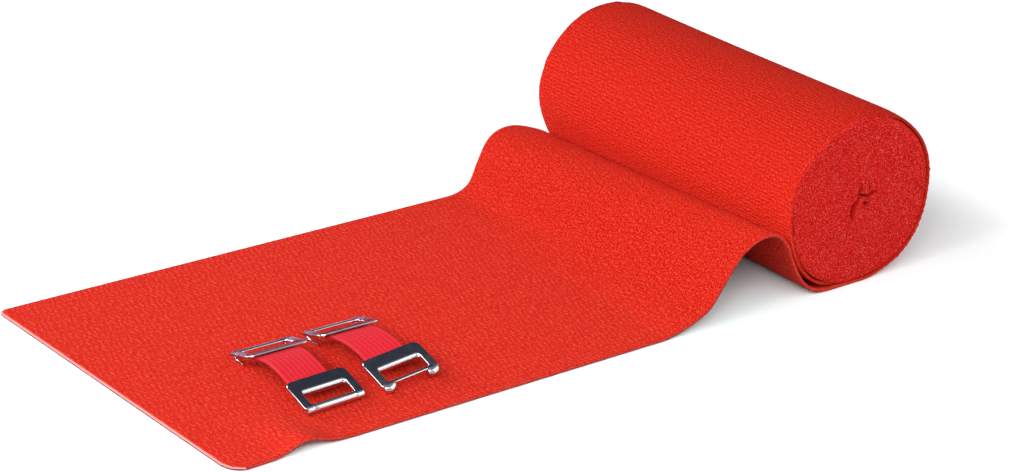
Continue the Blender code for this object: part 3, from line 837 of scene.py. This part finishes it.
def plateMesh(name, bend):
    v = plateShape
    work = bmesh.new()
    claws, columns = v["clawColumns"], v["middleColumns"] + 2 * v["clawColumns"]

    def outerPlaces(half):
        inside = half - bend["clawWidth"]
        middle = np.linspace(-inside, inside, v["middleColumns"] + 2)[1:-1]
        return [*np.linspace(-half, -inside, claws), *middle, *np.linspace(inside, half, claws)]

    def windowPlaces(half):
        return list(np.linspace(-half, half, columns))

    def outerLoop(inset, z):
        corners = (max(v["outerCorner"] - inset, 0.05), v["bandCorner"] - inset)
        depth = v["depth"] - 2 * inset - bend["pull"]
        loop = roundedLoop(v["width"] - 2 * inset, depth, bend["pull"] / 2, corners, outerPlaces)
        return [work.verts.new((x, y, z)) for x, y in loop]

    def windowLoop(grow, bulge=0.0):
        corners = (v["windowCorner"] * 0.6 + grow, v["windowCorner"] + grow)
        width, depth = v["windowWidth"] + 2 * grow, v["windowDepth"] + 2 * grow - bulge
        return roundedLoop(width, depth, v["windowShift"] - bulge / 2, corners, windowPlaces)

    def join(rowA, rowB, skip=()):
        for k in range(len(rowA)):
            after = (k + 1) % len(rowA)
            if k not in skip:
                work.faces.new((rowA[k], rowA[after], rowB[after], rowB[k]))

    def addRow(row, places):
        new = [work.verts.new(place) for place in places]
        for a, b, c, d in zip(row, row[1:], new[1:], new):
            work.faces.new((a, d, c, b))
        return new

    # the flat top, and the skirt bent down round it
    flat, opening = windowLoop(v["rimRadius"]), windowLoop(0.0, v["tongueBulge"])
    edge = bend["edge"]
    flatOuter, flatWindow = outerLoop(edge, 0), [work.verts.new((x, y, 0)) for x, y in flat]
    join(flatOuter, flatWindow)
    clawSkip = set(range(claws - 1)) | set(range(columns - claws, columns - 1))
    if bend["rolled"]:
        clawSkip = set(range(columns - 1))
    row = flatOuter
    for out, z, t in bendArc(edge, edge, v["skirtBend"], 6):
        new = outerLoop(edge - out, z)
        join(new, row, clawSkip)
        row = new
    new = outerLoop(edge - out - 0.02, -bend["skirt"])
    for k in range(claws - 1, columns - claws + 1):
        new[k].co.z = -v["betweenClaws"]
    join(new, row, clawSkip)

    # the rim of the window, which is deeper where the tongue is folded back
    first = columns + 2 * (v["cornerSteps"] - 1) + v["sideSteps"] + 1
    bandSide = max(y for x, y in opening)
    row = flatWindow
    for out, z, t in bendArc(1.0, 1.0, 90, 8):
        new = []
        for (ax, ay), (bx, by) in zip(flat, opening):
            rolled = max(1 - (bandSide - by) / v["tongueBend"], 0) ** 0.7
            deep = v["rimRadius"] + (v["tongueDrop"] / 2 - v["rimRadius"]) * rolled
            new.append(work.verts.new((ax + (bx - ax) * out, ay + (by - ay) * out, z * deep)))
        join(row, new)
        row = new
    rolledEdge = row[first:first + columns][::-1]

    def strip(start, route, widths, crown):
        # carries a run of edge points along a bend and its straight end, where the metal is cut to a point
        middle = sum(vert.co.x for vert in start) / len(start)
        half = max(abs(vert.co.x - middle) for vert in start)
        baseY = start[0].co.y
        row = start
        for (out, z, t), width in zip(route, widths):
            places = []
            for vert in start:
                across = (vert.co.x - middle) / half
                proud = crown * (1 - across**2) * min(math.sin(min(t, math.pi / 2)) * 1.3, 1) * width
                lower = proud * math.cos(t) * (0.3 if t < math.pi / 2 else 0.7)
                places.append((middle + across * half * width, baseY - out - proud * math.sin(t), z + lower))
            row = addRow(row, places)

    # the claws, each bent round into a prong
    radius, slope = bend["clawRadius"], math.radians(bend["prongSlope"])
    route = bendArc(radius, radius, 180 - bend["prongSlope"], len(v["clawWidths"]))
    out, z, t = route[-1]
    for share, width in v["prongs"]:
        reach = bend["prong"] * share
        route.append((out - reach * math.cos(slope), z - reach * math.sin(slope), t))
    widths = [*v["clawWidths"], *(width for share, width in v["prongs"])]
    widths = [width * (1 - bend["slim"] * min(max(k - 5, 0) / 6, 1)) for k, width in enumerate(widths)]
    if bend["rolled"]:
        lip = flatOuter[claws - 1:columns - claws + 1]
        strip(lip, bendArc(radius, radius, v["lipBend"], 12), [1.0] * 12, 0.0)
    strip(flatOuter[:claws], route, widths, bend["crown"])
    strip(flatOuter[columns - claws:columns], route, widths, bend["crown"])

    # the tongue, folded back under the band
    start = rolledEdge[1:-1]
    back = start
    for k in range(1, 9):
        t = math.radians(90 + 90 * k / 8)
        out = (v["tongueBulge"] + v["rimRadius"]) * (math.sin(t) - 1)
        z = v["tongueDrop"] / 2 * (math.cos(t) - 1)
        narrow = 1 - v["tongueTaper"] * k / 8
        back = addRow(back, [(vert.co.x * narrow, start[0].co.y - out, z) for vert in start])
    addRow(back, [(vert.co.x, vert.co.y + v["tongueLength"], vert.co.z) for vert in back])

    # the plate bows a little, along and across
    for vert in work.verts:
        bowX, bowY = (vert.co.x / v["width"] * 2) ** 2, (vert.co.y / v["depth"] * 2) ** 2
        vert.co.z -= bend["fall"][0] * bowX + bend["fall"][1] * bowY
    bmesh.ops.recalc_face_normals(work, faces=work.faces)
    top = [face for face in work.faces if face.calc_center_median().z > -0.3]
    if sum(face.normal.z * face.calc_area() for face in top) < 0:
        bmesh.ops.reverse_faces(work, faces=work.faces)
    for vert in work.verts:
        vert.co *= mm
    mesh = bpy.data.meshes.new(name)
    work.to_mesh(mesh)
    work.free()
    return mesh


def plateMatrix(pose, outerSide):
    facing = 0 if outerSide < 0 else 180
    turn = Matrix.Rotation(math.radians(pose["turn"] + facing), 4, "Z")
    slope = Matrix.Rotation(math.radians(pose["slope"]), 4, "X")
    roll = Matrix.Rotation(math.radians(pose["roll"] * -outerSide), 4, "Y")
    return Matrix.Translation(Vector(pose["at"]) * mm) @ turn @ slope @ roll


def buildPlate(name, node, matrix, bend, finish):
    piece = placePiece(name, plateMesh(name, bend), finish, node, matrix)
    thick = piece.modifiers.new("metal", "SOLIDIFY")
    thick.thickness = plateShape["thickness"] * mm
    thick.offset = -1
    thick.use_even_offset = True
    soft = piece.modifiers.new("tumbledEdges", "BEVEL")
    soft.width = 0.1 * mm
    soft.segments = 3
    soft.limit_method = "ANGLE"
    soft.angle_limit = math.radians(50)
    even = piece.modifiers.new("evenShading", "WEIGHTED_NORMAL")
    even.keep_sharp = True


clipLook = {
    "metal": (0.74, 0.74, 0.77),
    "grazing": (0.46, 0.40, 0.58),  # the plate's tint where it is seen edge on
    "wear": (0.09, 0.2),  # the plate's roughness
    "wearNoise": (420, 3.0, 0.6),
    "ripple": 0.00006,  # m
    "rippleNoise": (160, 1.0, 0.5),
    "band": (0.50, 0.012, 0.022),
    # painted shade in the grooves between the ribs
    "grooveShade": (0.44, 0.006, 0.013),
    "lightYarn": (0.62, 0.030, 0.048),
    "roughness": 0.6,
    "sheen": 0.03,
    "sheenTint": (1, 0.4, 0.45),
    "specular": 0.12,
    "knit": 0.00012,  # m
    "knitScale": (3, 2.2, 1),
    "yarnShare": 0.45,
}


def platedMaterial(values):
    made, tree, shader = newMaterial("nickelPlate", values["metal"], values["wear"][0], 1.0)
    place = objectPlace(tree)
    wear = remap(tree, noiseNode(tree, place, *values["wearNoise"]), 0.3, 0.7, *values["wear"])
    feed(tree, shader, {"Specular Tint": (*values["grazing"], 1), "Roughness": wear})
    bumpNode(tree, shader, noiseNode(tree, place, *values["rippleNoise"]), values["ripple"], 0.5)
    return made


def elasticMaterial(values):
    made, tree, shader = newMaterial("ribbedElastic", values["band"], values["roughness"])
    clothSurface(tree, shader, values)
    place = addNode(tree, "ShaderNodeUVMap", uv_map="bandMap").outputs["UV"]
    parts = addNode(tree, "ShaderNodeSeparateXYZ", {"Vector": place})
    rib = mathNode(tree, "SINE", mathNode(tree, "MULTIPLY", parts.outputs["X"], math.pi))
    rib = mathNode(tree, "ABSOLUTE", rib)
    knit = noiseNode(tree, movedPlace(tree, place, scale=values["knitScale"]), 1.0, 1.5)
    # painted shade in the grooves between the ribs
    colour = blendColours(tree, remap(tree, rib, 0.05, 0.75), values["grooveShade"], values["band"])
    share = remap(tree, knit, 0.35, 0.7, 0, values["yarnShare"])
    colour = blendColours(tree, share, colour, values["lightYarn"])
    feed(tree, shader, {"Base Color": colour})
    bumpNode(tree, shader, knit, values["knit"], 0.8)
    return made


bandShape = {  # mm
    "width": 11.0,
    "thickness": 0.85,
    "under": 0.3,  # below the plate's metal
    "ribs": 9,
    "ribDepth": 0.11,
    "rows": 44,
    "perRib": 6,
}


def buildBand(name, node, near, far, nearShift, farShift, finish):
    # a band arched from one plate to the other, gripped by both, with the ribs of its elastic threads
    gripStart = (plateShape["windowShift"] + plateShape["windowDepth"] / 2 + 0.6) * mm
    gripEnd = plateShape["depth"] / 2 * mm
    depth = -(plateShape["thickness"] + bandShape["under"]) * mm
    half = bandShape["width"] / 2 * mm
    nearWay, farWay = ((pose.to_3x3() @ Vector((0, 1, 0))).normalized() for pose in (near, far))
    sides = []
    for side in (-1, 1):
        nearX = nearShift * mm + side * half
        farX = -farShift * mm - side * half
        start, leave = (near @ Vector((nearX, y, depth)) for y in (gripStart, gripEnd))
        end, arrive = (far @ Vector((farX, y, depth)) for y in (gripStart, gripEnd))
        reach = (arrive - leave).length
        edge = [start, start.lerp(leave, 0.5)]
        for k in range(bandShape["rows"] + 1):
            edge.append(cubic(k / bandShape["rows"], leave, arrive, reach * nearWay, -reach * farWay))
        edge += [arrive.lerp(end, 0.5), end]
        sides.append([np.array(p) for p in edge])
    left, right = sides
    across = np.linspace(0, 1, bandShape["ribs"] * bandShape["perRib"] + 1)
    ribbed = bandShape["ribDepth"] * (np.abs(np.sin(np.pi * across * bandShape["ribs"])) ** 0.6 - 1) * mm
    rings, length = [], [0.0]
    for k, (a, b) in enumerate(zip(left, right)):
        before, after = max(k - 1, 0), min(k + 1, len(left) - 1)
        way = left[after] + right[after] - left[before] - right[before]
        up = np.cross(b - a, way)
        up /= np.linalg.norm(up)
        if k:
            length.append(length[-1] + np.linalg.norm((a + b - left[k - 1] - right[k - 1]) / 2) / mm)
        line = a + np.outer(across, b - a)
        top = line + np.outer(ribbed, up)
        bottom = line - np.outer(ribbed + bandShape["thickness"] * mm, up)
        rings.append(np.vstack([top, bottom[::-1]]))
    threads = across * bandShape["ribs"]
    place = np.concatenate([threads, threads[::-1] + 20, [0.0]])
    mesh = tubeMesh(name, np.stack(rings), "bandMap", np.array(length), place, alongFirst=False)
    finishPiece(name, mesh, finish, node, 75)


studio = {
    "floorNear": (0.83, 0.93, 0.93),  # under the cloth, which reddens its own shadow
    "floorFar": (0.97, 0.97, 0.97),
    "floorHalf": 6,
    "floorSink": 0.00002,
    "nearShift": (0.05, 0, 0),  # the oval of floor near the bandage
    "nearScale": (0.55, 1, 1),
    "nearFade": (0.06, 0.10),
    "lights": (  # name, place, size, power
        ("sideSoftbox", (-0.993, -0.444, 0.774), (0.8, 0.6), 9.9),
        ("leftSoftbox", (-1.117, 0.038, 0.737), (0.7, 0.5), 6.0),
        ("lowSoftbox", (-0.686, -0.922, 0.660), (0.7, 0.5), 7.1),
        ("backSoftbox", (-0.679, 1.022, 0.497), (0.6, 0.6), 16.8),
        ("cameraSoftbox", (-0.278, -0.888, 0.929), (0.8, 0.5), 4.6),
        ("frontSoftbox", (0.847, -0.693, 0.660), (1.1, 1.0), 4.4),
    ),
    "aim": (-0.04, 0.0, 0.01),
    "roomBright": (0.25, 0.25, 0.255),  # the side that the camera stands on
    "roomDark": (0.034, 0.040, 0.058),
    "brightSide": (0.30, -0.85, 0.35),
    "brightFade": (0.22, 0.44),
}


def addStudio():
    floor = bpy.data.meshes.new("studioFloor")
    half = studio["floorHalf"]
    corners = [(-half, -half, 0), (half, -half, 0), (half, half, 0), (-half, half, 0)]
    floor.from_pydata(corners, [], [(0, 1, 2, 3)])
    made, tree, shader = newMaterial("paleFloor", studio["floorFar"], 0.95)
    body = objectPlace(tree)
    oval = movedPlace(tree, body, studio["nearShift"], studio["nearScale"])
    reach = addNode(tree, "ShaderNodeVectorMath", {0: oval}, operation="LENGTH").outputs["Value"]
    grain = mathNode(tree, "MULTIPLY_ADD", noiseNode(tree, body, 30, 2.0), 0.01, reach)
    share = remap(tree, grain, *studio["nearFade"])
    shade = blendColours(tree, share, studio["floorNear"], studio["floorFar"])
    feed(tree, shader, {"Base Color": shade, "Specular IOR Level": 0.1})
    floor.materials.append(made)
    plane = addObject("studioFloor", floor)
    plane.location.z = -studio["floorSink"]
    for name, place, size, power in studio["lights"]:
        lamp = bpy.data.lights.new(name, "AREA")
        lamp.shape = "RECTANGLE"
        lamp.size, lamp.size_y = size
        lamp.energy = power
        holder = addObject(name, lamp)
        holder.location = place
        holder.rotation_euler = (Vector(place) - Vector(studio["aim"])).to_track_quat("Z", "Y").to_euler()
    world = bpy.data.worlds.new("studioRoom")
    world.use_nodes = True
    tree = world.node_tree
    backdrop = tree.nodes["Background"]
    way = addNode(tree, "ShaderNodeTexCoord").outputs["Generated"]
    side = Vector(studio["brightSide"]).normalized()
    facing = addNode(tree, "ShaderNodeVectorMath", {0: way, 1: side}, operation="DOT_PRODUCT").outputs["Value"]
    share = remap(tree, facing, *studio["brightFade"])
    room = blendColours(tree, share, studio["roomDark"], studio["roomBright"])
    feed(tree, backdrop, {"Color": room})
    bpy.context.scene.world = world
    bpy.context.scene.view_settings.view_transform = "Standard"


cameraPose = {
    "azimuth": -37.4979,
    "elevation": 23.4517,
    "roll": 1.9039,
    "distance": 0.68112,
    "aim": (-0.06982, 0.002187, 0.01022),
    "lens": 96.637,
}


def addCamera(pose):
    azimuth, elevation, roll = (math.radians(pose[key]) for key in ("azimuth", "elevation", "roll"))
    level = math.cos(elevation)
    back = Vector((math.sin(azimuth) * level, -math.cos(azimuth) * level, math.sin(elevation)))
    right = (-back).cross(Vector((0, 0, 1))).normalized()
    up = right.cross(-back)
    across = right * math.cos(roll) + up * math.sin(roll)
    upward = up * math.cos(roll) - right * math.sin(roll)
    view = bpy.data.cameras.new("photoCamera")
    view.sensor_width = 36
    view.lens = pose["lens"]
    view.clip_start = 0.05
    holder = addObject("photoCamera", view)
    turned = Matrix((across, upward, back)).transposed().to_4x4()
    holder.matrix_world = Matrix.Translation(Vector(pose["aim"]) + back * pose["distance"]) @ turned
    bpy.context.scene.camera = holder


addCamera(cameraPose)
addStudio()
print("camera and studio set")

crepe = crepeMaterial(crepeLook)
selvedge = woundEndMaterial(endLook)
cloth, clothLength = buildCloth(crepe)
print(f"cloth wound: {clothLength:.3f} m, {len(cloth.data.polygons)} faces")
nearEnd = buildWoundEnd("woundEndNear", -1, selvedge)
farEnd = buildWoundEnd("woundEndFar", 1, selvedge)
print("wound ends made")

plated = platedMaterial(clipLook)
elastic = elasticMaterial(clipLook)
for side, ends in clips.items():
    nearPlate = plateMatrix(ends["near"], -1)
    farPlate = plateMatrix(ends["far"], 1)
    buildPlate(f"{side}NearPlate", f"clip_{side}_near_plate", nearPlate, ends["near"], plated)
    buildPlate(f"{side}FarPlate", f"clip_{side}_far_plate", farPlate, ends["far"], plated)
    shifts = ends["near"]["band"], ends["far"]["band"]
    buildBand(f"{side}Band", f"clip_{side}_band", nearPlate, farPlate, *shifts, elastic)
print("clips made")

bpy.context.view_layer.update()
